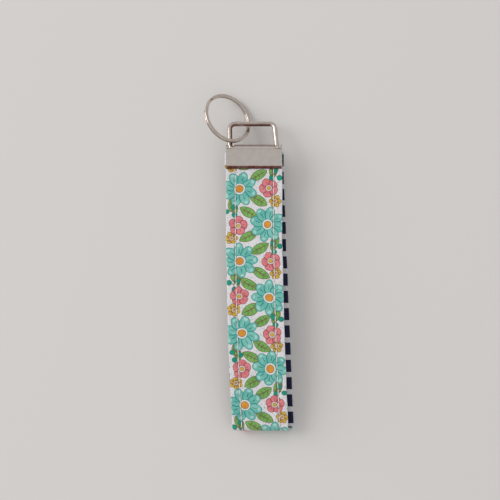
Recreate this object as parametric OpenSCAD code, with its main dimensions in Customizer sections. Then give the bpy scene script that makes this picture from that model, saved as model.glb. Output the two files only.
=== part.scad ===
// Wristlet keychain: a sewn cloth strap folded into a loop, its two ends crimped in a metal
// end clamp, with a swinging wire loop that carries a split ring for keys.
// X runs across the strap, Y runs along it towards the key ring and Z is up from the table.
// The origin is on the table, under the middle of the whole object.

/* [Strap] */
// Width of the sewn strap
strap_width = 32.6; // [28:0.1:33]
// Thickness of the printed outer cloth with its turned seam allowance
cover_thickness = 0.6; // [0.4:0.1:0.8]
// Thickness of the stiff woven interfacing inside
core_thickness = 1; // [0.6:0.1:1.2]
// Thickness of the striped inner cloth with its turned seam allowance
lining_thickness = 0.6; // [0.4:0.1:0.8]
// Gap between the two strap ends inside the clamp
end_gap = 0.25; // [0.2:0.05:0.4]
// Distance from the clamp's mouth to the outside of the fold, along the table
loop_length = 153.4; // [140:0.1:160]
// Radius of the outside of the fold
fold_radius = 4.6; // [4:0.1:6]
// Angle at which the upper layer climbs away from the fold
fold_climb = 14; // [5:1:20]
// Length of the lower layer that lies flat on the table, from the fold
flat_length = 118; // [100:1:122]

/* [Strap lie] */
// Sideways place of the upper layer at the clamp
upper_x = 2.8; // [2:0.1:3.5]
// Sideways drift of the upper layer by the time it reaches the fold
upper_drift = 3.6; // [0:0.1:5]
// Sideways place of the lower layer at the clamp
lower_x = 3.7; // [2:0.1:4]
// Sideways drift of the lower layer by the time it reaches the fold
lower_drift = 6; // [0:0.1:7]

/* [Stitching] */
// Distance of the left stitch line from the strap's edge
left_inset = 5.4; // [4:0.1:8]
// Distance of the right stitch line from the strap's edge
right_inset = 5; // [4:0.1:8]
// Width of the sewing thread as it lies pressed into the cloth
thread_width = 0.7; // [0.4:0.1:1]
// Height of the thread above the cloth
thread_proud = 0.1; // [0.05:0.01:0.12]
// Depth of the thread below the cloth's surface
thread_sunk = 0.15; // [0.1:0.01:0.3]

/* [End clamp] */
// Length of the clamp across the strap
clamp_width = 32.1; // [31:0.1:34]
// Depth of the clamp from its mouth to its spine
clamp_depth = 13.8; // [13:0.1:15]
// Outside thickness of the clamp
clamp_height = 6.4; // [6.3:0.1:7]
// Thickness of the folded sheet
sheet = 0.7; // [0.5:0.1:0.8]
// Radius of the clamp's spine corners
spine_radius = 2; // [1.8:0.1:2.2]
// Radius of the lips that roll in over the cloth
lip_radius = 1.7; // [1.4:0.1:1.8]
// Distance between the edges of the two lips
lip_gap = 3.9; // [3.8:0.1:4.2]
// Number of teeth along each lip
tooth_count = 16; // [8:1:20]
// Length of each tooth
tooth_length = 0.8; // [0.4:0.1:1]
// Height of the clamp's mouth above the table
clamp_lift = 11.3; // [10:0.1:12]
// Angle at which the clamp points up from the table
clamp_tilt = 10; // [8:1:12]

/* [Wire loop] */
// Diameter of the wire
wire_d = 2.8; // [2.4:0.1:3]
// Distance from the hinge line to the middle of the top bar
loop_reach = 16; // [15:0.1:17]
// Angle of the loop below the horizontal at rest
loop_droop = 21; // [20:0.5:21.5]
// Radius of the middle of the wire at the top corners
loop_corner = 3.2; // [2.5:0.1:4]
// Radius of the middle of the wire where it turns into the clamp
stub_corner = 1.9; // [1.6:0.1:2]
// Length of each turned-in wire end, from the middle of its leg
stub_length = 6; // [4:0.1:7]
// Width of each slot in the spine
slot_width = 4; // [3.9:0.1:4]
// Depth of each slot from the back of the spine
slot_depth = 2; // [1.9:0.1:2.2]

/* [Split ring] */
// Outside diameter of the split ring
ring_d = 30.6; // [30:0.1:31]
// Width of the flat coil, measured along the ring's radius
ring_band = 1.9; // [1.7:0.1:2.4]
// Thickness of one coil
ring_coil = 1.05; // [0.9:0.01:1.2]
// Air between the two coils
ring_air = 0.06; // [0.04:0.01:0.1]
// Angle between the ring and the table
ring_tilt = 38.5; // [38:0.5:39]
// Direction in which the ring leans down to the table, counted from +X towards +Y
ring_heading = 33; // [33:1:34]
// Direction of the split, counted round the ring from its lowest point
ring_split = 117; // [90:1:180]

/* [Hidden] */

$fn = 48;
hair = 0.02;                 // clearance between cloth layers that lie on each other
strap_thickness = cover_thickness + core_thickness + lining_thickness;
half = strap_thickness / 2;

clamp_mouth_y = 55;
clamp_x = 2.75;
stub_play = 0.15;            // clearance between the wire's stub and the inside of the spine
hinge_depth = clamp_depth - sheet - wire_d / 2 - stub_play;
strap_end_depth = hinge_depth - wire_d / 2 - 0.5;
hinge_y = clamp_mouth_y + hinge_depth * cos(clamp_tilt);
hinge_z = clamp_lift + hinge_depth * sin(clamp_tilt);
mouth_run = 1.5;             // straight stretch of strap just outside the clamp's mouth

fold_y = clamp_mouth_y - loop_length + fold_radius;
fold_mid = fold_radius - half;
flat_end_y = clamp_mouth_y - loop_length + flat_length;

// The strap's line in the Y-Z plane: Bezier stretches between the clamp and the fold.
clamp_axis = [cos(clamp_tilt), sin(clamp_tilt)];
clamp_up = [-sin(clamp_tilt), cos(clamp_tilt)];
function in_clamp(depth, side) =
  [clamp_mouth_y, clamp_lift] + depth * clamp_axis + side * (half + end_gap / 2) * clamp_up;
fold_top = [fold_y, fold_radius] + fold_mid * [-sin(fold_climb), cos(fold_climb)];
upper_curve = [
  in_clamp(-mouth_run, 1),
  in_clamp(-mouth_run, 1) - 26 * clamp_axis,
  fold_top + 60 * [cos(fold_climb), sin(fold_climb)],
  fold_top
];
lower_curve = [
  [flat_end_y, half],
  [flat_end_y + 17, half],
  in_clamp(-mouth_run, -1) - 10 * clamp_axis,
  in_clamp(-mouth_run, -1)
];

function bezier(p, t) =
  pow(1 - t, 3) * p[0] + 3 * t * pow(1 - t, 2) * p[1] + 3 * t * t * (1 - t) * p[2] + pow(t, 3) * p[3];
function slope(p, t) =
  pow(1 - t, 2) * (p[1] - p[0]) + 2 * t * (1 - t) * (p[2] - p[1]) + t * t * (p[3] - p[2]);
function heading(v) = atan2(v[1], v[0]);
function smooth(t) = t * t * (3 - 2 * t);

// Sideways place of each layer at a place along the table.
drift_start_y = 37;
function upper_shift(y) =
  upper_x + upper_drift * pow(max(0, drift_start_y - y) / (drift_start_y - fold_y), 2);
function lower_shift(y) = lower_x + lower_drift * (clamp_mouth_y - y) / (clamp_mouth_y - fold_y);

// A station on the strap's line is [x, y, z, heading in the Y-Z plane].
function station(x, p, angle) = [x, p[0], p[1], angle];
upper_steps = 30;
fold_steps = 14;
flat_steps = 8;
lower_steps = 16;
clamp_depths = [strap_end_depth, strap_end_depth / 2, 0];
stations = concat(
  [for (d = clamp_depths) station(upper_x, in_clamp(d, 1), 180 + clamp_tilt)],
  [for (i = [0:upper_steps - 1]) let (t = i / upper_steps, p = bezier(upper_curve, t))
    station(upper_shift(p[0]), p, heading(-slope(upper_curve, t)) + 180)],
  [for (i = [0:fold_steps]) let (
      t = i / fold_steps,
      angle = 180 + fold_climb + t * (180 - fold_climb),
      x = upper_shift(fold_y) + smooth(t) * (lower_shift(fold_y) - upper_shift(fold_y)))
    station(x, [fold_y, fold_radius] + fold_mid * [sin(angle), -cos(angle)], angle)],
  [for (i = [1:flat_steps]) let (y = fold_y + (flat_end_y - fold_y) * i / flat_steps)
    station(lower_shift(y), [y, half], 360)],
  [for (i = [1:lower_steps]) let (t = i / lower_steps, p = bezier(lower_curve, t))
    station(lower_shift(p[0]), p, 360 + heading(slope(lower_curve, t)))],
  [for (i = [len(clamp_depths) - 1:-1:0])
    station(lower_x, in_clamp(clamp_depths[i], -1), 360 + clamp_tilt)]
);

// A point of a station: side is across the strap and out is towards the outside of the loop.
function strap_point(s, side, out) =
  [s[0] + side, s[1] + out * sin(s[3]), max(0, s[2] - out * cos(s[3]))];

// A closed solid through a list of rings, each a ring of points that turns to the right as
// seen along the way the rings follow each other.
module skin(rings) {
  sides = len(rings[0]);
  count = len(rings);
  walls = [for (i = [0:count - 2]) for (k = [0:sides - 1])
    let (p = sides * i + k, q = sides * i + (k + 1) % sides)
    each [[p, p + sides, q], [q, p + sides, q + sides]]];
  first = [for (k = [0:sides - 1]) k];
  last = [for (k = [sides - 1:-1:0]) sides * (count - 1) + k];
  polyhedron([for (ring = rings) each ring], concat(walls, [first, last]));
}

// A flat band that follows the whole strap, from side a to side b and from depth low to depth high.
module band(a, b, low, high) {
  corners = [[a, low], [b, low], [b, high], [a, high]];
  skin([for (s = stations) [for (c = corners) strap_point(s, c[0], c[1])]]);
}

module floral_cover() {
  color([0.80, 0.88, 0.85])
    band(-strap_width / 2, strap_width / 2, half - cover_thickness + hair, half);
}

module strap_core() {
  inset = 0.6;
  color([0.93, 0.92, 0.88])
    band(-strap_width / 2 + inset, strap_width / 2 - inset,
      lining_thickness - half, half - cover_thickness);
}

module striped_lining() {
  color([0.12, 0.15, 0.27])
    band(-strap_width / 2, strap_width / 2, -half, lining_thickness - half - hair);
}

// One thread of a stitch line, on the outside (1) or the inside (-1) of the strap.
module thread(middle, face) {
  surface = face * half;
  limits = [surface - face * thread_sunk, surface + face * thread_proud];
  color([0.95, 0.94, 0.90])
    band(middle - thread_width / 2, middle + thread_width / 2, min(limits), max(limits));
}

left_line = left_inset - strap_width / 2;
right_line = strap_width / 2 - right_inset;
module needle_thread_left() { thread(left_line, 1); }
module needle_thread_right() { thread(right_line, 1); }
module bobbin_thread_left() { thread(left_line, -1); }
module bobbin_thread_right() { thread(right_line, -1); }

// Cross-section of the clamp, mouth at the origin, drawn inside its outline by the distance grow.
module clamp_outline(grow) {
  lip = lip_radius - grow;
  spine = spine_radius - grow;
  top = clamp_height / 2 - grow;
  back = clamp_depth - grow;
  for (side = [-1, 1]) {
    translate([grow + lip, side * (top - lip)]) circle(lip);
    translate([back - spine, side * (top - spine)]) circle(spine);
  }
  translate([grow + lip, -top]) square([back - spine - grow - lip, 2 * top]);
  translate([grow, lip - top]) square([lip, 2 * (top - lip)]);
  translate([back - spine, spine - top]) square([spine, 2 * (top - spine)]);
}

// A row of pointed teeth along one lip, pointing into the strap.
module teeth() {
  pitch = clamp_width / tooth_count;
  root = 0.2;
  ridge = [for (i = [0:tooth_count - 1]) each [[i * pitch, 0], [(i + 0.5) * pitch, tooth_length]]];
  translate([0, sheet, lip_gap / 2])
    rotate([90, 0, 0])
      linear_extrude(sheet - 0.1)
        mirror([0, 1])
          polygon(concat([[0, -root]], ridge, [[clamp_width, 0], [clamp_width, -root]]));
}

// Puts something drawn from the clamp's mouth, lying flat, where the clamp is.
module at_clamp() {
  translate([clamp_x, clamp_mouth_y, clamp_lift])
    rotate([clamp_tilt, 0, 0])
      children();
}

slot_wall = 0.5;             // metal left outside each slot at the clamp's ends
module end_clamp() {
  color([0.66, 0.64, 0.61])
    at_clamp()
      translate([-clamp_width / 2, 0, 0]) {
        difference() {
          rotate([90, 0, 90])
            linear_extrude(clamp_width)
              difference() {
                clamp_outline(0);
                clamp_outline(sheet);
                translate([-1, -lip_gap / 2]) square([1 + 2 * sheet, lip_gap]);
              }
          for (x = [slot_wall, clamp_width - slot_wall - slot_width])
            translate([x, clamp_depth - slot_depth, -clamp_height])
              cube([slot_width, 2 * slot_depth, 2 * clamp_height]);
        }
        teeth();
        mirror([0, 0, 1]) teeth();
      }
}

// Corners of the wire loop's middle line in its own plane: X, and distance from the hinge line.
loop_left = -11.15;
loop_right = 16.1;
loop_lean = 1.4;             // how far the right leg leans in by the top bar
loop_points = [
  [loop_left + stub_length, 0], [loop_left, 0], [loop_left - 0.3, loop_reach],
  [loop_right - loop_lean, loop_reach], [loop_right, 0], [loop_right - stub_length, 0]
];
loop_radii = [0, stub_corner, loop_corner, loop_corner, stub_corner, 0];

function unit(v) = v / norm(v);
// Half the angle that the wire turns at corner i, and the length that its bend takes from each side.
function half_turn(i) =
  acos(unit(loop_points[i] - loop_points[i - 1]) * unit(loop_points[i + 1] - loop_points[i])) / 2;
function bend_length(i) = loop_radii[i] == 0 ? 0 : loop_radii[i] * tan(half_turn(i));

// A station on the wire is [x, distance from the hinge line, direction in the loop's plane].
// Every bend turns to the right, round a centre on the inside of the loop.
bend_steps = 9;
wire_sides = 20;
function direction(i) = heading(loop_points[i + 1] - loop_points[i]);
function across(angle) = [-sin(angle), cos(angle)];
function bend_centre(i) = loop_points[i]
  - unit(loop_points[i] - loop_points[i - 1]) * bend_length(i)
  - across(direction(i - 1)) * loop_radii[i];
function bend_station(i, t) = let (angle = direction(i - 1) - t * 2 * half_turn(i))
  [each bend_centre(i) + across(angle) * loop_radii[i], angle];
wire_stations = concat(
  [[each loop_points[0], direction(0)]],
  [for (i = [1:4]) for (k = [0:bend_steps]) bend_station(i, k / bend_steps)],
  [[each loop_points[5], direction(4)]]
);

module wire_loop() {
  rings = [for (s = wire_stations) [for (k = [0:wire_sides - 1]) let (
      turn = 360 * k / wire_sides,
      side = wire_d / 2 * cos(turn) * across(s[2]))
    [s[0] + side[0], s[1] + side[1], wire_d / 2 * sin(turn)]]];
  color([0.70, 0.69, 0.67])
    translate([0, hinge_y, hinge_z])
      rotate([-loop_droop, 0, 0])
        skin(rings);
}

// The split ring's wire makes two turns, less a gap, and steps from one coil to the other.
ring_gap = 18;               // angle from the middle of the step to each end of the wire
ring_step = 14;              // half the angle over which the wire steps over
ring_stations = 144;
ring_radius = (ring_d - ring_band) / 2;
coil_offset = (ring_coil + ring_air) / 2;
function coil_height(angle) =
  let (t = (angle - 360 + ring_step) / (2 * ring_step))
    coil_offset * (2 * smooth(max(0, min(1, t))) - 1);
ring_edge = 0.3;             // size of the flats on the coil's rounded edges
ring_section = let (a = ring_band / 2, b = ring_coil / 2, e = ring_edge) [
  [-a, -b + e], [-a + e, -b], [a - e, -b], [a, -b + e],
  [a, b - e], [a - e, b], [-a + e, b], [-a, b - e]
];

ring_x = -12.6;
ring_y = 84.3;
module split_ring() {
  rings = [for (i = [0:ring_stations])
    let (angle = ring_gap + (720 - 2 * ring_gap) * i / ring_stations)
    [for (c = ring_section) let (r = ring_radius + c[0])
      [r * cos(angle), r * sin(angle), coil_height(angle) - c[1]]]];
  lift = ring_d / 2 * sin(ring_tilt) + (coil_offset + ring_coil / 2) * cos(ring_tilt);
  color([0.74, 0.73, 0.71])
    translate([ring_x, ring_y, lift])
      rotate([0, ring_tilt, ring_heading])
        rotate([0, 0, ring_split])
          skin(rings);
}

floral_cover();
strap_core();
striped_lining();
needle_thread_left();
needle_thread_right();
bobbin_thread_left();
bobbin_thread_right();
end_clamp();
wire_loop();
split_ring();
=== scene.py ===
"""Looks of the wristlet keychain: a printed cloth strap with a striped lining, its end clamp,
the wire loop and the split ring. Lengths are written in millimetres and turned into metres
where meshes are made. X runs across the strap, Y along it towards the ring, Z up."""
import math

import bpy
import numpy as np
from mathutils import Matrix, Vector


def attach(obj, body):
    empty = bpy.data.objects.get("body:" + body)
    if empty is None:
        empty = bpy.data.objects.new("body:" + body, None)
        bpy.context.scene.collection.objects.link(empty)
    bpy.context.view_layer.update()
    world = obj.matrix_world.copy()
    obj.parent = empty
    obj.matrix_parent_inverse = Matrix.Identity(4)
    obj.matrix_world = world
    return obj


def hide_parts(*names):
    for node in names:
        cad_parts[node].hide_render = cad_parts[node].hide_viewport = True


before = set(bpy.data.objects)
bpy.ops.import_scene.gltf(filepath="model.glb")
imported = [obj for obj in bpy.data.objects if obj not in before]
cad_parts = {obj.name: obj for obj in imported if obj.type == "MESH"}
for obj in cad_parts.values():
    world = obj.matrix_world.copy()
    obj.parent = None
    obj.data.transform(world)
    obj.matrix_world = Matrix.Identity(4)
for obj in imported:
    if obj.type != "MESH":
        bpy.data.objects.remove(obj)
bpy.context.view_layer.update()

MM = 0.001

# ---------------------------------------------------------------- sizes shared with the CAD part
STRAP_WIDTH = 32.6
COVER, CORE, LINING = 0.6, 1.0, 0.6          # thickness of each layer
HALF = (COVER + CORE + LINING) / 2
HAIR = 0.02                                  # air between two layers
CORE_INSET = 0.6
END_GAP = 0.25
STRAP_END_DEPTH = 9.65                       # how far the strap's ends go into the clamp
MOUTH_RUN = 1.5
MOUTH = np.array([55.0, 11.3])               # the clamp's mouth in the Y-Z plane
CLAMP_TILT = 10.0
FOLD_Y, FOLD_RADIUS, FOLD_CLIMB = -93.8, 4.6, 14.0
FOLD_MID = FOLD_RADIUS - HALF
FLAT_END_Y = 19.6
LEFT_LINE = 5.4 - STRAP_WIDTH / 2            # the two stitch lines, across the strap
RIGHT_LINE = STRAP_WIDTH / 2 - 5.0

WIRE_D = 2.8
HINGE = np.array([66.37, 13.31])             # hinge line in the Y-Z plane
LOOP_DROOP = 21.0
LOOP_POINTS = [(-5.15, 0), (-11.15, 0), (-11.45, 16), (14.7, 16), (16.1, 0), (10.1, 0)]
LOOP_RADII = [0, 1.9, 3.2, 3.2, 1.9, 0]

RING_D, RING_BAND, RING_COIL, RING_AIR = 30.6, 1.9, 1.05, 0.06
RING_CENTRE = (-12.6, 84.3)
RING_TILT, RING_HEADING, RING_SPLIT = 38.5, 33.0, 117.0
RING_GAP, RING_STEP = 18.0, 14.0
RING_ROUND = 0.40                            # corner radius of the flattened ring wire

# ---------------------------------------------------------------- sizes that only the looks use
STITCH = 3.9                                 # length of one stitch and the step to the next
FIRST_STITCH = 1.2
REPEAT = 21.0                                # step from one large printed flower to the next
LARGE = 10.4                                 # radius of a large printed flower
LIP_BAND = 2.0                               # depth from the mouth at which the painted dark reflection on the lips ends
SPINE_BEND, SPINE_EDGE = 11.7, 12.9          # depths of the two painted dark reflection lines by the spine
STRIPE_PITCH, STRIPE_NAVY, STRIPE_START = 10.16, 7.2, 0.1

# ---------------------------------------------------------------- small helpers


def unit(v):
    v = np.asarray(v, float)
    return v / np.linalg.norm(v)


def smooth(t):
    t = np.clip(t, 0, 1)
    return t * t * (3 - 2 * t)


def bump(x, width):
    """1 at x = 0, falling to 0 over about one and a half widths."""
    return np.exp(-(x / width) ** 2)


def ripple(x, y, seed):
    """Soft seeded waves between -1 and 1, for uneven cloth and hand-drawn edges."""
    rng = np.random.default_rng(seed)
    total = 0
    for _ in range(5):
        angle, phase, pace = rng.uniform(0, 2 * math.pi), rng.uniform(0, 6.3), rng.uniform(0.6, 1.6)
        total = total + np.sin(pace * (x * math.cos(angle) + y * math.sin(angle)) + phase)
    return total / 3.2


def turn_z(degrees):
    c, s = math.cos(math.radians(degrees)), math.sin(math.radians(degrees))
    return np.array([[c, -s, 0], [s, c, 0], [0, 0, 1]])


def turn_y(degrees):
    c, s = math.cos(math.radians(degrees)), math.sin(math.radians(degrees))
    return np.array([[c, 0, s], [0, 1, 0], [-s, 0, c]])


# ---------------------------------------------------------------- the strap's line


def in_clamp(depth, side):
    tilt = math.radians(CLAMP_TILT)
    axis = np.array([math.cos(tilt), math.sin(tilt)])
    up = np.array([-math.sin(tilt), math.cos(tilt)])
    return MOUTH + depth * axis + side * (HALF + END_GAP / 2) * up


def bezier(p, t):
    p0, p1, p2, p3 = (np.asarray(q, float) for q in p)
    t = t[:, None]
    point = (1 - t) ** 3 * p0 + 3 * t * (1 - t) ** 2 * p1 + 3 * t * t * (1 - t) * p2 + t ** 3 * p3
    slope = (1 - t) ** 2 * (p1 - p0) + 2 * t * (1 - t) * (p2 - p1) + t * t * (p3 - p2)
    return point, slope


def upper_shift(y):
    return 2.8 + 3.6 * (np.maximum(0, 37 - y) / (37 - FOLD_Y)) ** 2


def lower_shift(y):
    return 3.7 + 6 * (MOUTH[0] - y) / (MOUTH[0] - FOLD_Y)


def strap_line():
    """Columns x, y, z, heading in degrees of the middle of the strap, from one end to the other."""
    tilt, climb = math.radians(CLAMP_TILT), math.radians(FOLD_CLIMB)
    clamp_axis = np.array([math.cos(tilt), math.sin(tilt)])
    fold_top = np.array([FOLD_Y, FOLD_RADIUS]) + FOLD_MID * np.array([-math.sin(climb), math.cos(climb)])
    mouth_top, mouth_low = in_clamp(-MOUTH_RUN, 1), in_clamp(-MOUTH_RUN, -1)
    rows = []

    def inside(depths, side, shift, angle):
        for depth in depths:
            p = in_clamp(depth, side)
            rows.append((shift, p[0], p[1], angle))

    depths = np.linspace(STRAP_END_DEPTH, 0, 12)
    inside(depths, 1, 2.8, 180 + CLAMP_TILT)
    p, v = bezier([mouth_top, mouth_top - 26 * clamp_axis,
                   fold_top + 60 * np.array([math.cos(climb), math.sin(climb)]), fold_top],
                  np.linspace(0, 1, 400))
    for q, s in zip(p[:-1], v[:-1]):
        rows.append((upper_shift(q[0]), *q, 180 + math.degrees(math.atan2(-s[1], -s[0]))))
    for t in np.linspace(0, 1, 80):
        angle = 180 + FOLD_CLIMB + t * (180 - FOLD_CLIMB)
        a = math.radians(angle)
        x = upper_shift(FOLD_Y) + smooth(t) * (lower_shift(FOLD_Y) - upper_shift(FOLD_Y))
        rows.append((x, FOLD_Y + FOLD_MID * math.sin(a), FOLD_RADIUS - FOLD_MID * math.cos(a), angle))
    for y in np.linspace(FOLD_Y, FLAT_END_Y, 200)[1:]:
        rows.append((lower_shift(y), y, HALF, 360))
    p, v = bezier([(FLAT_END_Y, HALF), (FLAT_END_Y + 17, HALF), mouth_low - 10 * clamp_axis, mouth_low],
                  np.linspace(0, 1, 120))
    for q, s in zip(p[1:], v[1:]):
        rows.append((lower_shift(q[0]), *q, 360 + math.degrees(math.atan2(s[1], s[0]))))
    inside(depths[::-1], -1, 3.7, 360 + CLAMP_TILT)
    return np.array(rows)


LINE = strap_line()
ALONG = np.concatenate([[0], np.cumsum(np.linalg.norm(np.diff(LINE[:, 1:3], axis=0), axis=1))])
STRIP = ALONG[-1]                            # length of the flat strip, end to end
MOUTH_AT = STRAP_END_DEPTH                   # where the strip passes the clamp's mouth


def squeeze(v):
    """How much the clamp's lips press the strap thinner, 1 where they don't touch it."""
    nearest = np.minimum(np.abs(v - MOUTH_AT + 0.7), np.abs(STRIP - v - MOUTH_AT + 0.7))
    return 1 - 0.36 * bump(nearest, 1.5)


def place(v, u, out):
    """Points in mm on the strap: v along the strip, u across it, out towards the printed side."""
    x, y, z, angle = (np.interp(v, ALONG, LINE[:, k]) for k in range(4))
    a = np.radians(angle)
    out = out * squeeze(v)
    # Pressed cloth spreads a little sideways, and shows beside the clamp.
    pressed = smooth((MOUTH_AT + 2 - np.minimum(v, STRIP - v)) / 3)
    u = u * (1 + 0.021 * pressed) - 0.35 * pressed
    return np.stack([x + u, y + out * np.sin(a), np.maximum(0, z - out * np.cos(a))], -1)


# ---------------------------------------------------------------- meshes


def make_piece(name, points, faces, materials, body, crease):
    """A smooth-shaded mesh piece in the row frame from points in mm, riding on one body."""
    mesh = bpy.data.meshes.new(name)
    mesh.from_pydata((np.asarray(points, float) * MM).tolist(), [], faces)
    mesh.validate()
    mesh.shade_smooth()
    mesh.set_sharp_from_angle(angle=math.radians(crease))
    for material in materials:
        mesh.materials.append(material)
    obj = bpy.data.objects.new(name, mesh)
    bpy.context.scene.collection.objects.link(obj)
    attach(obj, body)
    return obj


def tube_faces(rings, sides, first=0):
    """Faces of a closed skin through rings of points, counted from the point first."""
    i, k = np.meshgrid(np.arange(rings - 1), np.arange(sides), indexing="ij")
    a, b = first + sides * i + k, first + sides * i + (k + 1) % sides
    quads = np.stack([a, b, b + sides, a + sides], -1).reshape(-1, 4).tolist()
    start_cap = list(range(first + sides - 1, first - 1, -1))
    end_cap = list(range(first + sides * (rings - 1), first + sides * rings))
    return quads + [start_cap, end_cap]


def set_attribute(obj, name, values):
    kind = "FLOAT_VECTOR" if values.ndim == 2 else "FLOAT"
    made = obj.data.attributes.new(name, kind, "POINT")
    made.data.foreach_set("vector" if values.ndim == 2 else "value", values.astype(np.float32).ravel())


def layer_ring(width, low, high, steps, back_steps, round_side):
    """Cross-section of one cloth layer: offsets (u, out) round a flat band with rounded sides.
    The face at high comes first, counted from the left edge, with steps + 1 points."""
    flat = width / 2 - round_side            # how far the flat part reaches from the middle
    middle, radius = (low + high) / 2, abs(high - low) / 2
    sign = 1 if high > low else -1
    face = [(u, high) for u in np.linspace(-flat, flat, steps + 1)]
    turn = np.radians([60, 30, 0, -30, -60])
    right = [(flat + round_side * math.cos(t), middle + sign * radius * math.sin(t)) for t in turn]
    back = [(u, low) for u in np.linspace(flat, -flat, back_steps + 1)]
    left = [(-u, o) for u, o in right[::-1]]
    return np.array(face + right + back + left)


def cloth_layer(name, width, low, high, steps, back_steps, spacing, relief, materials, seed):
    """One layer of the sewn strap as a closed thin skin. relief(u, v) is added on the shown face,
    which is the face at high. Returns the piece and the cloth coordinates of its grid."""
    ring = layer_ring(width, low, high, steps, back_steps, round_side=0.28)
    v = np.linspace(0, STRIP, int(round(STRIP / spacing)) + 1)
    grid = (len(v), len(ring))
    u, out = np.broadcast_to(ring[:, 0], grid), np.broadcast_to(ring[:, 1], grid)
    vv = np.broadcast_to(v[:, None], grid)
    shown = np.abs(out - low) / abs(high - low)
    sign = 1 if high > low else -1
    # The sewn edges aren't quite straight, and the waves fade out inside the clamp.
    free = smooth((np.minimum(vv, STRIP - vv) - MOUTH_AT) / 6)
    sway = 0.16 * free * ripple(vv / 5, 0 * vv, seed) * smooth((np.abs(u) / (width / 2) - 0.8) / 0.2)
    points = place(vv, u + sway, out + sign * relief(u, vv) * shown)
    # Each ring runs clockwise or anticlockwise depending on which face is shown.
    faces = tube_faces(len(v), len(ring))
    if sign > 0:
        faces = [f[::-1] for f in faces]
    obj = make_piece(name, points.reshape(-1, 3), faces, materials, "strap", crease=70)
    set_attribute(obj, "cloth", np.stack([u, vv, 0 * u], -1).reshape(-1, 3))
    return obj, u, vv


# ---------------------------------------------------------------- sewing


def hole_distance(u, v):
    """Distance to the nearest needle hole."""
    step = (v - FIRST_STITCH) % STITCH
    along = np.minimum(step, STITCH - step)
    across = np.minimum(np.abs(u - LEFT_LINE), np.abs(u - RIGHT_LINE))
    return np.hypot(along, across)


def sewn_relief(u, v, seed):
    """How the stitches pull the cloth in, in mm: furrows, dimples and puckers towards the edges."""
    relief = 0.03 * ripple(u / 3, v / 3, seed)
    for line, side in ((LEFT_LINE, -1), (RIGHT_LINE, 1)):
        from_line = u - line
        tight = 0.75 + 0.25 * ripple(v / 4, 0 * v, seed + 1)
        relief = relief - 0.26 * tight * bump(from_line, 0.75) - 0.10 * bump(from_line, 2.2)
        outside = bump(from_line * side - 1.6, 1.9)
        phase = 1.3 * ripple(v / 9, u / 6, seed + 2)
        relief = relief + 0.085 * tight * outside * np.sin(2 * math.pi * v / STITCH + phase)
        inside = bump(-from_line * side - 1.7, 1.5)
        relief = relief + 0.05 * tight * inside * np.sin(2 * math.pi * v / STITCH + 2.0 + phase)
    relief = relief - 0.30 * bump(hole_distance(u, v), 0.55)
    # A turned seam allowance under the edge makes a low step just inside each stitch line.
    allowance = 0.10 * (smooth((np.abs(u) - 7.6) / 1.2) - 1)
    hem = -0.06 * smooth((np.abs(u) - 15.2) / 1.1)
    return relief + allowance + hem


def core_relief(u, v):
    """Furrows that the stitches press into the core."""
    return 0 * u - 0.28 * (bump(u - LEFT_LINE, 0.8) + bump(u - RIGHT_LINE, 0.8))


def stitch_line(name, line, face, material, seed):
    """The stitches of one line on one face: short two-ply threads that dive into the holes."""
    rng = np.random.default_rng(seed)
    sides, stations = 8, 11
    wide, thick = 0.27, 0.20                 # half the thread's width and height as it lies
    turn = np.arange(sides) * 2 * math.pi / sides
    points, faces, thread = [], [], []
    count = int((STRIP - 2 * FIRST_STITCH) / STITCH)
    for k in range(count):
        start, end = FIRST_STITCH + k * STITCH + 0.12, FIRST_STITCH + (k + 1) * STITCH - 0.12
        lean, lift = rng.normal(0, 0.06), rng.normal(0, 0.012)
        t = np.linspace(0, 1, stations)
        arch = np.sin(math.pi * t) ** 0.35
        thin = 0.45 + 0.55 * np.sin(math.pi * np.clip(t, 0.02, 0.98)) ** 0.5
        v = start + (end - start) * t
        middle = -0.52 + (0.50 + lift) * arch
        u = line + lean * (2 * t - 1)
        u_ring = u[:, None] + wide * thin[:, None] * np.cos(turn)
        out_ring = face * (HALF + middle[:, None] + thick * thin[:, None] * np.sin(turn))
        v_ring = np.broadcast_to(v[:, None], u_ring.shape)
        first = len(points) * stations * sides
        ring_faces = tube_faces(stations, sides, first)
        faces += [f[::-1] for f in ring_faces] if face > 0 else ring_faces
        points.append(place(v_ring, u_ring, out_ring).reshape(-1, 3))
        round_thread = np.broadcast_to(turn / (2 * math.pi), u_ring.shape)
        thread.append(np.stack([round_thread, v_ring, 0 * v_ring], -1).reshape(-1, 3))
    obj = make_piece(name, np.concatenate(points), faces, [material], "strap", crease=80)
    set_attribute(obj, "thread", np.concatenate(thread))
    return obj


# ---------------------------------------------------------------- metal sweeps


def bent_wire():
    """Stations (x, distance from the hinge line, direction) along the loop's middle line."""
    p = [np.array(q, float) for q in LOOP_POINTS]
    rows = []
    first = unit(p[1] - p[0])
    angle = math.atan2(first[1], first[0])
    rows.append((*p[0], angle))
    for i in range(1, 5):
        before, after = unit(p[i] - p[i - 1]), unit(p[i + 1] - p[i])
        half_turn = math.acos(np.clip(before @ after, -1, 1)) / 2
        radius = LOOP_RADII[i]
        angle = math.atan2(before[1], before[0])
        across = np.array([-before[1], before[0]])
        centre = p[i] - before * radius * math.tan(half_turn) - across * radius
        for t in np.linspace(0, 1, 18):
            a = angle - t * 2 * half_turn
            rows.append((*(centre + radius * np.array([-math.sin(a), math.cos(a)])), a))
    last = unit(p[5] - p[4])
    rows.append((*p[5], math.atan2(last[1], last[0])))
    return rows


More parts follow.
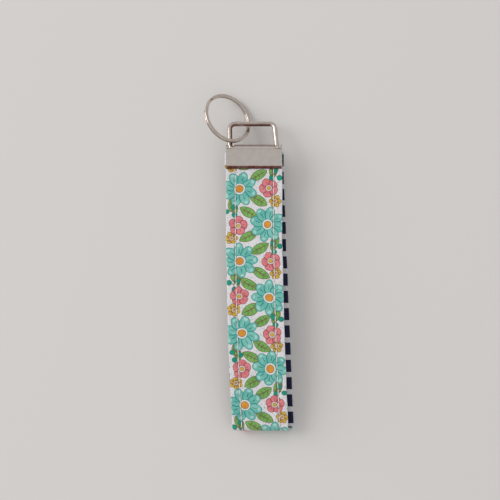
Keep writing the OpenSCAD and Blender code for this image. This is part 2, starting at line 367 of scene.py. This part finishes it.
def wire_loop_piece(material):
    """The swinging loop of round wire, with small chamfers on its two cut ends."""
    sides = 40
    rows = bent_wire()
    chamfer = 0.25
    ends = []
    for row, way in ((rows[0], 1), (rows[-1], -1)):
        step = way * chamfer * np.array([math.cos(row[2]), math.sin(row[2])])
        ends.append((row[0] + step[0], row[1] + step[1], row[2]))
    stations = [(rows[0], WIRE_D / 2 - chamfer), (ends[0], WIRE_D / 2)]
    stations += [(row, WIRE_D / 2) for row in rows[1:-1]]
    stations += [(ends[1], WIRE_D / 2), (rows[-1], WIRE_D / 2 - chamfer)]
    turn = np.arange(sides) * 2 * math.pi / sides
    droop = math.radians(LOOP_DROOP)
    points, own, run = [], [], 0
    previous = np.array(rows[0][:2])
    for (x, reach, angle), radius in stations:
        here = np.array([x, reach])
        run += np.linalg.norm(here - previous)
        previous = here
        side = radius * np.cos(turn)
        px, pv, pw = x - math.sin(angle) * side, reach + math.cos(angle) * side, radius * np.sin(turn)
        y = HINGE[0] + pv * math.cos(droop) + pw * math.sin(droop)
        z = HINGE[1] - pv * math.sin(droop) + pw * math.cos(droop)
        points.append(np.stack([px, y, z], -1))
        # A dark reflection is painted on the inner side of the wire, all along it but the right leg.
        reflection_reach = np.clip(1 + 1.2 * math.sin(angle), 0, 1)
        own.append(np.stack([turn, 0 * turn + run, reflection_reach * smooth((0.62 - np.cos(turn)) / 1.1) ** 4], -1))
    faces = tube_faces(len(stations), sides)
    obj = make_piece("wire_loop_metal", np.concatenate(points), faces, [material], "loop", crease=35)
    set_attribute(obj, "wire", np.concatenate(own))
    return obj


def coil_section():
    """Cross-section of the flattened ring wire: a rectangle with rounded corners, (radial, axial)."""
    a, b, r = RING_BAND / 2, RING_COIL / 2, RING_ROUND
    corners = ((a - r, b - r), (r - a, b - r), (r - a, r - b), (a - r, r - b))
    section = []
    for quarter, (corner_a, corner_b) in enumerate(corners):
        for t in np.radians(90 * quarter + np.linspace(0, 90, 7)):
            section.append((corner_a + r * math.cos(t), corner_b + r * math.sin(t)))
    return np.array(section)


def split_ring_piece(material):
    """Two turns of flattened wire that step over each other, less a gap at each end."""
    section = coil_section()
    stations = 361
    radius = (RING_D - RING_BAND) / 2
    offset = (RING_COIL + RING_AIR) / 2
    angle = np.linspace(RING_GAP, 720 - RING_GAP, stations)
    height = offset * (2 * smooth((angle - 360 + RING_STEP) / (2 * RING_STEP)) - 1)
    # The ends are ground down a little, so the last stations taper.
    end = np.minimum(angle - RING_GAP, 720 - RING_GAP - angle)
    taper = 0.78 + 0.22 * smooth(end / 4)
    a = np.radians(angle)
    r = radius + section[:, 0][None, :] * taper[:, None]
    points = np.stack([r * np.cos(a)[:, None], r * np.sin(a)[:, None],
                       height[:, None] + section[:, 1][None, :] * taper[:, None]], -1)
    points = points @ turn_z(RING_SPLIT).T @ turn_y(RING_TILT).T @ turn_z(RING_HEADING).T
    tilt = math.radians(RING_TILT)
    lift = RING_D / 2 * math.sin(tilt) + (offset + RING_COIL / 2) * math.cos(tilt)
    points = points + np.array([*RING_CENTRE, lift])
    faces = tube_faces(stations, len(section))
    faces = [f[::-1] for f in faces]
    obj = make_piece("split_ring_metal", points.reshape(-1, 3), faces, [material], "ring", crease=35)
    along = np.broadcast_to(angle[:, None], (stations, len(section))) * math.radians(1) * radius
    around = np.broadcast_to(section[:, 0][None, :], along.shape)
    # How near each point is to the seam between the two coils, 0 to 1, for the shade painted in that seam.
    facing = np.where(angle < 360, 1, -1)[:, None] * section[:, 1][None, :] / (RING_COIL / 2)
    beside_gap = np.abs((angle + 180) % 360 - 180)
    facing = facing * smooth((beside_gap - RING_GAP - 1) / 3)[:, None]
    set_attribute(obj, "wire", np.stack([around, along, np.clip(facing, 0, 1)], -1).reshape(-1, 3))
    return obj


# ---------------------------------------------------------------- the flower print

INKS = ("teal", "deep", "green", "coral", "yellow", "orange", "teal_wash", "white", "vein", "tide", "tint")
FAR = 3.0                                    # distance in mm given to cloth that has none of an ink


class Print:
    """Signed distances in mm to the edge of each ink, on the grid of the printed face.
    A shape that is painted later covers the earlier ones, and keeps an outline of its own."""

    def __init__(self, u, v):
        self.v = v
        self.ink = {name: np.full(u.shape, FAR) for name in INKS}
        wobble = 0.32                        # how far a drawn edge strays, in mm
        self.wu = u + wobble * ripple(u / 2.1, v / 2.1, 11)
        self.wv = v + wobble * ripple(u / 2.1, v / 2.1, 12)

    def paint(self, ink, shape, u, v, reach, cover=True):
        """shape(du, dv) gives the signed distance from a shape whose middle is at u, v."""
        rows = np.abs(self.v[:, 0] - v) < reach + 2
        if not rows.any():
            return
        d = shape(self.wu[rows] - u, self.wv[rows] - v)
        if cover:
            for field in self.ink.values():
                field[rows] = np.maximum(field[rows], -d)
        self.ink[ink][rows] = np.minimum(self.ink[ink][rows], d)


def turned(du, dv, degrees):
    """The same offsets along axes that are turned by this angle."""
    c, s = math.cos(math.radians(degrees)), math.sin(math.radians(degrees))
    return c * du + s * dv, -s * du + c * dv


def oval(wide, long, degrees=0.0):
    """An oval. wide and long are half its size, with the long axis along v at 0 degrees."""
    def shape(du, dv):
        x, y = turned(du, dv, degrees)
        near = np.hypot(x / wide, y / long) + 1e-6
        slope = np.hypot(x / wide ** 2, y / long ** 2) + 1e-6
        return near * (near - 1) / slope
    return shape


def lens(wide, long, degrees=0.0):
    """A leaf pointed at both ends."""
    radius = (long ** 2 + wide ** 2) / (2 * wide)

    def shape(du, dv):
        x, y = turned(du, dv, degrees)
        return np.maximum(np.hypot(x - radius + wide, y) - radius, np.hypot(x + radius - wide, y) - radius)
    return shape


def stroke(length, thick, degrees):
    """A brush line that thins towards its ends."""
    def shape(du, dv):
        x, y = turned(du, dv, degrees)
        t = np.clip(y / (length / 2), -1, 1)
        return np.hypot(x, y - t * length / 2) - thick * (1 - 0.4 * t * t)
    return shape


def line(art, ink, u, v, length, degrees, thick=0.3):
    """A drawn line on top of what is already painted."""
    art.paint(ink, stroke(length, thick, degrees), u, v, length, cover=False)


def towards(u, v, degrees, along, across=0.0):
    """The place that lies along an angle from u, v, and beside it."""
    c, s = math.cos(math.radians(degrees)), math.sin(math.radians(degrees))
    return u - s * along + c * across, v + c * along + s * across


def whorl(art, ink, u, v, turn, count, away, wide, long, cover=True):
    """Ovals in a circle about u, v, each pointing outwards."""
    for k in range(count):
        degrees = turn + 360 * k / count
        art.paint(ink, oval(wide, long, degrees), *towards(u, v, degrees, away), long, cover)


def flower(art, inks, u, v, size, count, turn):
    """A plain flower of this radius. inks are those of its petals, their lines and its heart."""
    petal, crease, heart = inks
    wide = 0.66 * size * math.tan(math.pi / count)
    whorl(art, petal, u, v, turn, count, 0.6 * size, wide, 0.4 * size)
    whorl(art, crease, u, v, turn, count, 0.55 * size, 0.25, 0.16 * size, cover=False)
    art.paint("white", oval(0.3 * size, 0.3 * size), u, v, size)
    art.paint(heart, oval(0.22 * size, 0.22 * size), u, v, size)


def leaf(art, u, v, wide, long, degrees):
    """A leaf pointed at both ends, with a middle rib and three pairs of side ribs."""
    art.paint("green", lens(wide, long, degrees), u, v, long)
    line(art, "vein", u, v, 1.4 * long, degrees)
    for step in (-0.4, 0.0, 0.4):
        for side in (-1, 1):
            at = towards(u, v, degrees, step * long, 0.35 * side * wide)
            line(art, "vein", *at, 0.6 * wide, degrees - side * 50, thick=0.22)


def berries(art, u, v, turn):
    """Three round berries on short stalks."""
    whorl(art, "vein", u, v, turn, 3, 1.2, 0.25, 1.4, cover=False)
    whorl(art, "deep", u, v, turn, 3, 2.7, 1.6, 1.6)


def draw_print(art):
    """A plain flower print made by rule. Large flowers stand on alternate sides, one each repeat,
    and small motifs fill the other side, all moved and turned a little by seeded chance."""
    rng = np.random.default_rng(7)
    for k in range(int(STRIP / REPEAT) + 2):
        side, middle = (1, -1)[k % 2], REPEAT * k

        def spot(across, along):
            """A place given in parts of the strap's width and of the repeat."""
            stray = rng.normal(0, 0.4, 2)
            return side * across * STRAP_WIDTH + stray[0], middle + along * REPEAT + stray[1]

        for along in (-0.34, 0.34):
            leaf(art, *spot(-0.10, along), 3.0, 6.0, math.copysign(60, along * side))
        leaf(art, *spot(0.36, 0.5), 2.6, 5.2, 20 * side)
        berries(art, *spot(-0.38, -0.36), rng.uniform(0, 120))
        flower(art, ("yellow", "vein", "orange"), *spot(-0.38, 0.36), 3.8, 6, rng.uniform(0, 60))
        flower(art, ("coral", "tint", "yellow"), *spot(-0.28, 0.0), 5.6, 5, rng.uniform(0, 72))
        heart, turn = spot(0.25, 0.0), rng.uniform(0, 45)
        flower(art, ("teal", "tide", "orange"), *heart, LARGE, 8, turn)
        whorl(art, "teal_wash", *heart, turn, 8, 0.83 * LARGE, 0.11 * LARGE, 0.07 * LARGE, cover=False)


# ---------------------------------------------------------------- materials


def srgb(red, green, blue):
    """A colour given as it looks on a screen, 0 to 255."""
    def linear(c):
        c = c / 255
        return c / 12.92 if c <= 0.04045 else ((c + 0.055) / 1.055) ** 2.4
    return (linear(red), linear(green), linear(blue), 1.0)


def add(tree, kind, links=None, **settings):
    """A new node, with its settings and its sockets set or linked."""
    node = tree.nodes.new(kind)
    for key, value in settings.items():
        setattr(node, key, value)
    for key, value in (links or {}).items():
        if isinstance(value, bpy.types.NodeSocket):
            tree.links.new(value, node.inputs[key])
        else:
            node.inputs[key].default_value = value
    return node


def maths(tree, operation, a, b=0.0, c=0.0):
    return add(tree, "ShaderNodeMath", {0: a, 1: b, 2: c}, operation=operation).outputs[0]


def ranged(tree, value, low, high, to_low=0.0, to_high=1.0, soft=True):
    kind = "SMOOTHSTEP" if soft else "LINEAR"
    return add(tree, "ShaderNodeMapRange", {0: value, 1: low, 2: high, 3: to_low, 4: to_high},
               interpolation_type=kind).outputs[0]


def mix(tree, factor, a, b, blend="MIX"):
    node = add(tree, "ShaderNodeMix", data_type="RGBA", blend_type=blend)
    for index, value in ((0, factor), (6, a), (7, b)):
        if isinstance(value, bpy.types.NodeSocket):
            tree.links.new(value, node.inputs[index])
        else:
            node.inputs[index].default_value = value
    return node.outputs[2]


def noise(tree, vector, scale, detail=3.0, roughness=0.5):
    return add(tree, "ShaderNodeTexNoise", {"Vector": vector, "Scale": scale, "Detail": detail,
                                            "Roughness": roughness}).outputs["Fac"]


def new_material(name):
    material = bpy.data.materials.new(name)
    material.use_nodes = True
    tree = material.node_tree
    shader = tree.nodes["Principled BSDF"]
    return material, tree, shader


def attribute(tree, name, output="Vector"):
    return add(tree, "ShaderNodeAttribute", attribute_name=name).outputs[output]


def weave(tree, cloth, pitch):
    """Height of a plain weave, 0 to 1: warp and weft threads that pass over and under each other."""
    parts = add(tree, "ShaderNodeSeparateXYZ", {0: cloth})
    turns = math.pi / pitch
    warp = maths(tree, "SINE", maths(tree, "MULTIPLY", parts.outputs[0], turns))
    weft = maths(tree, "SINE", maths(tree, "MULTIPLY", parts.outputs[1], turns))
    crossing = maths(tree, "MULTIPLY", warp, weft)
    threads = maths(tree, "ADD", maths(tree, "ABSOLUTE", warp), maths(tree, "ABSOLUTE", weft))
    both = maths(tree, "ADD", maths(tree, "MULTIPLY", crossing, 0.5), maths(tree, "MULTIPLY", threads, 0.5))
    return maths(tree, "MULTIPLY_ADD", both, 0.5, 0.25)


def ink_group():
    """Adds one printed ink to a colour: filled inside its edge, with a darker line along the edge."""
    group = bpy.data.node_groups.new("printed_ink", "ShaderNodeTree")
    face = group.interface
    face.new_socket("Colour", in_out="OUTPUT", socket_type="NodeSocketColor")
    for name in ("Under", "Fill", "Shade", "Line"):
        face.new_socket(name, in_out="INPUT", socket_type="NodeSocketColor")
    for name in ("Distance", "Tone", "Line width"):
        face.new_socket(name, in_out="INPUT", socket_type="NodeSocketFloat")
    entry, result = group.nodes.new("NodeGroupInput"), group.nodes.new("NodeGroupOutput")
    given = {s.name: s for s in entry.outputs}
    edge = 0.09                              # how far the ink's edge bleeds into the cloth
    inside = ranged(group, given["Distance"], edge, -edge)
    line_at = maths(group, "MULTIPLY", given["Line width"], -1.0)
    past_line = ranged(group, maths(group, "SUBTRACT", given["Distance"], line_at), 0.10, -0.10)
    filled = mix(group, given["Tone"], given["Fill"], given["Shade"])
    inked = mix(group, past_line, given["Line"], filled)
    colour = mix(group, inside, given["Under"], inked)
    group.links.new(colour, result.inputs["Colour"])
    return group


INK_COLOURS = {
    # ink: fill, shade, line, width of the line in mm
    "teal": ((134, 201, 189), (98, 180, 168), (44, 150, 142), 0.36),
    "deep": ((28, 164, 134), (8, 140, 112), (10, 112, 94), 0.34),
    "green": ((130, 188, 100), (104, 164, 82), (112, 98, 56), 0.34),
    "coral": ((228, 138, 142), (214, 116, 124), (158, 84, 84), 0.34),
    "yellow": ((226, 188, 80), (206, 164, 58), (150, 110, 50), 0.32),
    "orange": ((226, 158, 62), (206, 134, 48), (146, 96, 44), 0.30),
    "white": ((224, 228, 226), (216, 224, 222), (224, 228, 226), 0.0),
    "teal_wash": ((178, 220, 212), (158, 211, 202), (178, 220, 212), 0.0),
    "vein": ((120, 100, 66), (112, 96, 62), (120, 100, 66), 0.0),
    "tide": ((36, 142, 134), (30, 134, 126), (36, 142, 134), 0.0),
    "tint": ((192, 96, 106), (186, 92, 100), (192, 96, 106), 0.0),
}


def printed_cotton():
    material, tree, shader = new_material("floral_cotton")
    cloth = attribute(tree, "cloth")
    ink = ink_group()
    slow, patchy = noise(tree, cloth, 0.16, 2.0), noise(tree, cloth, 0.9, 4.0, 0.6)
    tone = ranged(tree, maths(tree, "ADD", maths(tree, "MULTIPLY", slow, 0.5),
                              maths(tree, "MULTIPLY", patchy, 0.5)), 0.38, 0.62)
    colour = mix(tree, ranged(tree, slow, 0.3, 0.7), srgb(229, 228, 230), srgb(221, 220, 223))
    dots = add(tree, "ShaderNodeTexVoronoi", {"Vector": cloth, "Scale": 0.95}).outputs["Distance"]
    colour = mix(tree, ranged(tree, dots, 0.32, 0.20, 0.0, 0.60), colour, srgb(126, 140, 132))
    for name in INKS:
        fill, shade, line, width = INK_COLOURS[name]
        node = add(tree, "ShaderNodeGroup", node_tree=ink)
        tree.links.new(colour, node.inputs["Under"])
        node.inputs["Fill"].default_value = srgb(*fill)
        node.inputs["Shade"].default_value = srgb(*shade)
        node.inputs["Line"].default_value = srgb(*line)
        node.inputs["Line width"].default_value = width
        tree.links.new(attribute(tree, "ink_" + name, "Fac"), node.inputs["Distance"])
        tree.links.new(tone, node.inputs["Tone"])
        colour = node.outputs["Colour"]
    colour = cotton_surface(tree, shader, cloth, colour)
    tree.links.new(colour, shader.inputs["Base Color"])
    return material


def cotton_surface(tree, shader, cloth, colour):
    """Weave, slubs, lint, painted shade round the needle holes and a soft sheen on a cloth colour. Returns
    the colour.
    """
    height = weave(tree, cloth, pitch=0.27)
    slub_along = add(tree, "ShaderNodeMapping", {"Vector": cloth, "Scale": (5.0, 0.5, 1.0)}).outputs[0]
    slub_across = add(tree, "ShaderNodeMapping", {"Vector": cloth, "Scale": (0.5, 5.0, 1.0)}).outputs[0]
    slubs = maths(tree, "ADD", noise(tree, slub_along, 1.0, 2.0), noise(tree, slub_across, 1.0, 2.0))
    # Threads catch a little less light in the gaps of the weave and along thin slubs.
    shade = maths(tree, "MULTIPLY", ranged(tree, height, 0.0, 0.9, 0.90, 1.03),
                  ranged(tree, slubs, 0.75, 1.25, 0.95, 1.03))
    grey = add(tree, "ShaderNodeCombineColor", {0: shade, 1: shade, 2: shade}).outputs[0]
    colour = mix(tree, 1.0, colour, grey, "MULTIPLY")
    lint = ranged(tree, noise(tree, cloth, 3.1, 2.0, 0.7), 0.735, 0.76, 0.0, 0.5)
    colour = mix(tree, lint, colour, srgb(120, 116, 118))
    # Painted shade darkens the cloth round each needle hole.
    hole = ranged(tree, attribute(tree, "hole", "Fac"), 0.62, 0.22, 0.0, 0.5)
    colour = mix(tree, hole, colour, srgb(92, 86, 84))
    relief = maths(tree, "ADD", maths(tree, "MULTIPLY", height, 0.7), maths(tree, "MULTIPLY", slubs, 0.3))
    bumped = add(tree, "ShaderNodeBump", {"Strength": 0.35, "Distance": 0.00012, "Height": relief})
    tree.links.new(bumped.outputs[0], shader.inputs["Normal"])
    tree.links.new(ranged(tree, slubs, 0.7, 1.3, 0.78, 0.92), shader.inputs["Roughness"])
    shader.inputs["Sheen Weight"].default_value = 0.25
    shader.inputs["Sheen Roughness"].default_value = 0.5
    shader.inputs["Specular IOR Level"].default_value = 0.2
    return colour


def striped_cotton():
    """Navy bars across the strap on white, with yarn-dyed edges that are a little uneven."""
    material, tree, shader = new_material("striped_cotton")
    cloth = attribute(tree, "cloth")
    along = add(tree, "ShaderNodeSeparateXYZ", {0: cloth}).outputs[1]
    wander = maths(tree, "MULTIPLY", maths(tree, "SUBTRACT", noise(tree, cloth, 2.2, 3.0), 0.5), 0.35)
    step = maths(tree, "ADD", maths(tree, "ADD", along, wander), STRIPE_START)
    inside = maths(tree, "PINGPONG", step, STRIPE_PITCH / 2)
    navy = ranged(tree, inside, STRIPE_NAVY / 2 + 0.08, STRIPE_NAVY / 2 - 0.08)
    dye = mix(tree, ranged(tree, noise(tree, cloth, 1.4, 4.0, 0.7), 0.35, 0.65),
              srgb(22, 27, 54), srgb(33, 39, 70))
    colour = mix(tree, navy, srgb(222, 221, 224), dye)
    colour = cotton_surface(tree, shader, cloth, colour)
    tree.links.new(colour, shader.inputs["Base Color"])
    return material


def interfacing():
    """Stiff off-white core with pressed fibres and a coarse weave."""
    material, tree, shader = new_material("interfacing")
    cloth = attribute(tree, "cloth")
    fibres = noise(tree, cloth, 2.4, 6.0, 0.75)
    colour = mix(tree, ranged(tree, fibres, 0.35, 0.65), srgb(222, 219, 208), srgb(236, 233, 224))
    tree.links.new(colour, shader.inputs["Base Color"])
    height = maths(tree, "ADD", weave(tree, cloth, pitch=0.6), fibres)
    bumped = add(tree, "ShaderNodeBump", {"Strength": 0.5, "Distance": 0.0002, "Height": height})
    tree.links.new(bumped.outputs[0], shader.inputs["Normal"])
    shader.inputs["Roughness"].default_value = 0.92
    shader.inputs["Sheen Weight"].default_value = 0.2
    return material


def sewing_thread():
    """White two-ply thread: slanting plies in the bump, painted highlight and shade on the plies in the
    colour, and a silky sheen.
    """
    material, tree, shader = new_material("sewing_thread")
    parts = add(tree, "ShaderNodeSeparateXYZ", {0: attribute(tree, "thread")})
    plies, twist = 2.0, 1.9                  # plies round the thread, and their turns per mm
    turns = maths(tree, "ADD", maths(tree, "MULTIPLY", parts.outputs[0], plies),
                  maths(tree, "MULTIPLY", parts.outputs[1], twist))
    # Each ply is painted lighter on its crest and darker in the groove beside the next: painted highlight
    # and shade.
    ply = maths(tree, "SINE", maths(tree, "MULTIPLY", turns, 2 * math.pi))
    fuzz = noise(tree, attribute(tree, "thread"), 6.0, 4.0, 0.7)
    lit = ranged(tree, maths(tree, "ADD", ply, maths(tree, "MULTIPLY", fuzz, 0.8)), -1.0, 1.3)
    colour = mix(tree, lit, srgb(206, 204, 200), srgb(246, 245, 243))
    tree.links.new(colour, shader.inputs["Base Color"])
    bumped = add(tree, "ShaderNodeBump", {"Strength": 0.6, "Distance": 0.00008, "Height": ply})
    tree.links.new(bumped.outputs[0], shader.inputs["Normal"])
    tree.links.new(ranged(tree, fuzz, 0.3, 0.7, 0.45, 0.62), shader.inputs["Roughness"])
    shader.inputs["Sheen Weight"].default_value = 0.35
    return material


def nickel(name, vector, painted_dark, tint, rough, brushed, grain):
    """Plated nickel: warm grey metal with fine drawn or brushed lines, small marks, and painted dark
    reflections and shade. vector gives coordinates in mm, and the mask after it is 1 where dark reflection
    and shade are painted on the metal."""
    material, tree, shader = new_material(name)
    place_in = vector(tree)
    lines = noise(tree, add(tree, "ShaderNodeMapping", {"Vector": place_in, "Scale": grain}).outputs[0],
                  1.0, 5.0, 0.65)
    cloud = noise(tree, place_in, 0.35, 4.0, 0.6)
    marks = ranged(tree, noise(tree, place_in, 2.6, 2.0, 0.8), 0.68, 0.74)
    warm, cool = tint
    colour = mix(tree, ranged(tree, cloud, 0.35, 0.65), warm, cool)
    colour = mix(tree, maths(tree, "MULTIPLY", marks, 0.35), colour, srgb(120, 106, 96))
    # Dark red-brown painted reflection and shade, where the mask is 1.
    dark = maths(tree, "MULTIPLY", painted_dark(tree), ranged(tree, cloud, 0.3, 0.7, 0.80, 1.0))
    colour = mix(tree, dark, colour, srgb(112, 60, 52))
    tree.links.new(colour, shader.inputs["Base Color"])
    shader.inputs["Metallic"].default_value = 1.0
    uneven = maths(tree, "ADD", maths(tree, "MULTIPLY", lines, 0.6), maths(tree, "MULTIPLY", cloud, 0.4))
    tree.links.new(ranged(tree, uneven, 0.35, 0.65, rough - 0.03, rough + 0.05), shader.inputs["Roughness"])
    height = maths(tree, "SUBTRACT", lines, maths(tree, "MULTIPLY", marks, 0.4))
    bumped = add(tree, "ShaderNodeBump", {"Strength": brushed, "Distance": 0.00004, "Height": height})
    tree.links.new(bumped.outputs[0], shader.inputs["Normal"])
    return material


def part_coordinates(tree):
    """Coordinates of a CAD node in mm."""
    position = add(tree, "ShaderNodeTexCoord").outputs["Object"]
    return add(tree, "ShaderNodeMapping", {"Vector": position, "Scale": (1000.0,) * 3}).outputs[0]


def clamp_painted_reflection(tree):
    """Painted reflection: the clamp's rolled lips are painted dark red-brown, and thin dark lines are
    painted along its spine's bend and its back edge.
    """
    tilt = math.radians(CLAMP_TILT)
    parts = add(tree, "ShaderNodeSeparateXYZ", {0: part_coordinates(tree)})
    y = maths(tree, "SUBTRACT", parts.outputs[1], float(MOUTH[0]))
    z = maths(tree, "SUBTRACT", parts.outputs[2], float(MOUTH[1]))
    depth = maths(tree, "ADD", maths(tree, "MULTIPLY", y, math.cos(tilt)),
                  maths(tree, "MULTIPLY", z, math.sin(tilt)))
    # The lip band, the line at the bend and the back edge are painted dark reflection.
    lip = ranged(tree, depth, LIP_BAND + 0.12, LIP_BAND - 0.12)
    from_bend = maths(tree, "ABSOLUTE", maths(tree, "SUBTRACT", depth, SPINE_BEND))
    bend = ranged(tree, from_bend, 0.22, 0.05, 0.0, 0.4)
    edge = ranged(tree, depth, SPINE_EDGE, SPINE_EDGE + 0.5, 0.0, 0.5)
    return maths(tree, "MAXIMUM", lip, maths(tree, "MAXIMUM", bend, edge))


def wire_coordinates(tree):
    return attribute(tree, "wire")


def ring_seam_shade_and_loop_reflection(tree):
    """Painted shade in the seam between the split ring's coils, and a painted dark reflection along the
    inner side of the loop.
    """
    seam = add(tree, "ShaderNodeSeparateXYZ", {0: wire_coordinates(tree)}).outputs[2]
    return ranged(tree, seam, 0.45, 0.95, 0.0, 0.9)


# ---------------------------------------------------------------- stage, light and camera


def make_camera():
    data = bpy.data.cameras.new("camera")
    data.sensor_width = 36.0
    data.lens = 85.3
    data.clip_start, data.clip_end = 0.01, 20
    camera = bpy.data.objects.new("camera", data)
    bpy.context.scene.collection.objects.link(camera)
    camera.location = (0.0004, 0.00766, 0.700)
    bpy.context.scene.camera = camera


def make_floor():
    size, drop = 30.0, 0.25 * MM
    mesh = bpy.data.meshes.new("floor")
    corners = [(-size, -size, -drop), (size, -size, -drop), (size, size, -drop), (-size, size, -drop)]
    mesh.from_pydata(corners, [], [(0, 1, 2, 3)])
    material, tree, shader = new_material("floor")
    shader.inputs["Base Color"].default_value = srgb(219, 216, 213)
    shader.inputs["Roughness"].default_value = 0.95
    shader.inputs["Specular IOR Level"].default_value = 0.1
    mesh.materials.append(material)
    floor = bpy.data.objects.new("floor", mesh)
    bpy.context.scene.collection.objects.link(floor)


def area_light(name, place_at, aim, size, power, colour):
    data = bpy.data.lights.new(name, "AREA")
    data.shape, data.size, data.energy, data.color = "DISK", size, power, colour
    lamp = bpy.data.objects.new(name, data)
    bpy.context.scene.collection.objects.link(lamp)
    lamp.location = place_at
    direction = np.array(aim, float) - np.array(place_at, float)
    lamp.rotation_mode = "QUATERNION"
    lamp.rotation_quaternion = Vector(direction).to_track_quat("-Z", "Y")


def make_flag():
    """A dark board in front of the object that only reflections see, as a photographer would hold
    one up so that polished metal shows its edges. It throws no shade."""
    mesh = bpy.data.meshes.new("flag")
    mesh.from_pydata([(-1.6, -1.2, 0.01), (1.6, -1.2, 0.01), (1.6, -1.2, 0.27), (-1.6, -1.2, 0.27)], [],
                     [(0, 1, 2, 3)])
    material, tree, shader = new_material("flag")
    shader.inputs["Base Color"].default_value = (0.035, 0.012, 0.011, 1)
    shader.inputs["Roughness"].default_value = 1.0
    shader.inputs["Specular IOR Level"].default_value = 0.0
    mesh.materials.append(material)
    flag = bpy.data.objects.new("flag", mesh)
    bpy.context.scene.collection.objects.link(flag)
    flag.visible_camera = flag.visible_diffuse = flag.visible_shadow = False


def make_light():
    """Soft light from the left, low enough for a wide soft shadow, and a pale plain world."""
    area_light("key", (-3.3, 1.3, 1.75), (0, 0, 0), 3.0, 98.0, (1.0, 0.985, 0.965))
    world = bpy.data.worlds.new("studio")
    bpy.context.scene.world = world
    world.use_nodes = True
    tree = world.node_tree
    direction = add(tree, "ShaderNodeTexCoord").outputs["Generated"]
    up = add(tree, "ShaderNodeSeparateXYZ", {0: direction}).outputs[2]
    sky = mix(tree, ranged(tree, up, 0.0, 0.8), (0.50, 0.48, 0.47, 1), (0.66, 0.66, 0.67, 1))
    background = tree.nodes["Background"]
    tree.links.new(sky, background.inputs["Color"])
    background.inputs["Strength"].default_value = 1.02
    bpy.context.scene.view_settings.view_transform = "Standard"


# ---------------------------------------------------------------- build


def build_strap():
    cover, u, v = cloth_layer(
        "floral_cover_cloth", STRAP_WIDTH, HALF - COVER + HAIR, HALF, steps=86, back_steps=6,
        spacing=0.365, relief=lambda u, v: sewn_relief(u, v, 21), materials=[printed_cotton()], seed=31)
    art = Print(u, v)
    draw_print(art)
    for name in INKS:
        set_attribute(cover, "ink_" + name, art.ink[name].ravel())
    set_attribute(cover, "hole", np.minimum(hole_distance(u, v), 3).ravel())
    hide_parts("floral_cover")

    lining, u, v = cloth_layer(
        "striped_lining_cloth", STRAP_WIDTH, LINING - HALF - HAIR, -HALF, steps=54, back_steps=6,
        spacing=0.65, relief=lambda u, v: sewn_relief(u, v, 22), materials=[striped_cotton()], seed=32)
    set_attribute(lining, "hole", np.minimum(hole_distance(u, v), 3).ravel())
    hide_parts("striped_lining")

    core, u, v = cloth_layer(
        "interfacing_core", STRAP_WIDTH - 2 * CORE_INSET, LINING - HALF, HALF - COVER, steps=24,
        back_steps=24, spacing=1.2, relief=core_relief, materials=[interfacing()], seed=33)
    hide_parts("strap_core")

    thread = sewing_thread()
    for name, across, face, seed in (
            ("needle_thread_left", LEFT_LINE, 1, 41), ("needle_thread_right", RIGHT_LINE, 1, 42),
            ("bobbin_thread_left", LEFT_LINE, -1, 43), ("bobbin_thread_right", RIGHT_LINE, -1, 44)):
        stitches = stitch_line(name.replace("thread", "stitches"), across, face, thread, seed)
        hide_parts(name)


def build_metal():
    brushed = nickel("brushed_nickel", part_coordinates, clamp_painted_reflection,
                     tint=(srgb(206, 197, 188), srgb(200, 191, 184)),
                     rough=0.34, brushed=0.5, grain=(0.35, 9.0, 9.0))
    polished = nickel("polished_nickel", wire_coordinates, ring_seam_shade_and_loop_reflection,
                      tint=(srgb(214, 203, 192), srgb(200, 191, 184)),
                      rough=0.19, brushed=0.25, grain=(9.0, 0.4, 1.0))
    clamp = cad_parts["end_clamp"]
    clamp.data.materials.clear()
    clamp.data.materials.append(brushed)
    loop = wire_loop_piece(polished)
    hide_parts("wire_loop")
    ring = split_ring_piece(polished)
    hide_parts("split_ring")


make_camera()
make_floor()
make_flag()
make_light()
build_strap()
build_metal()
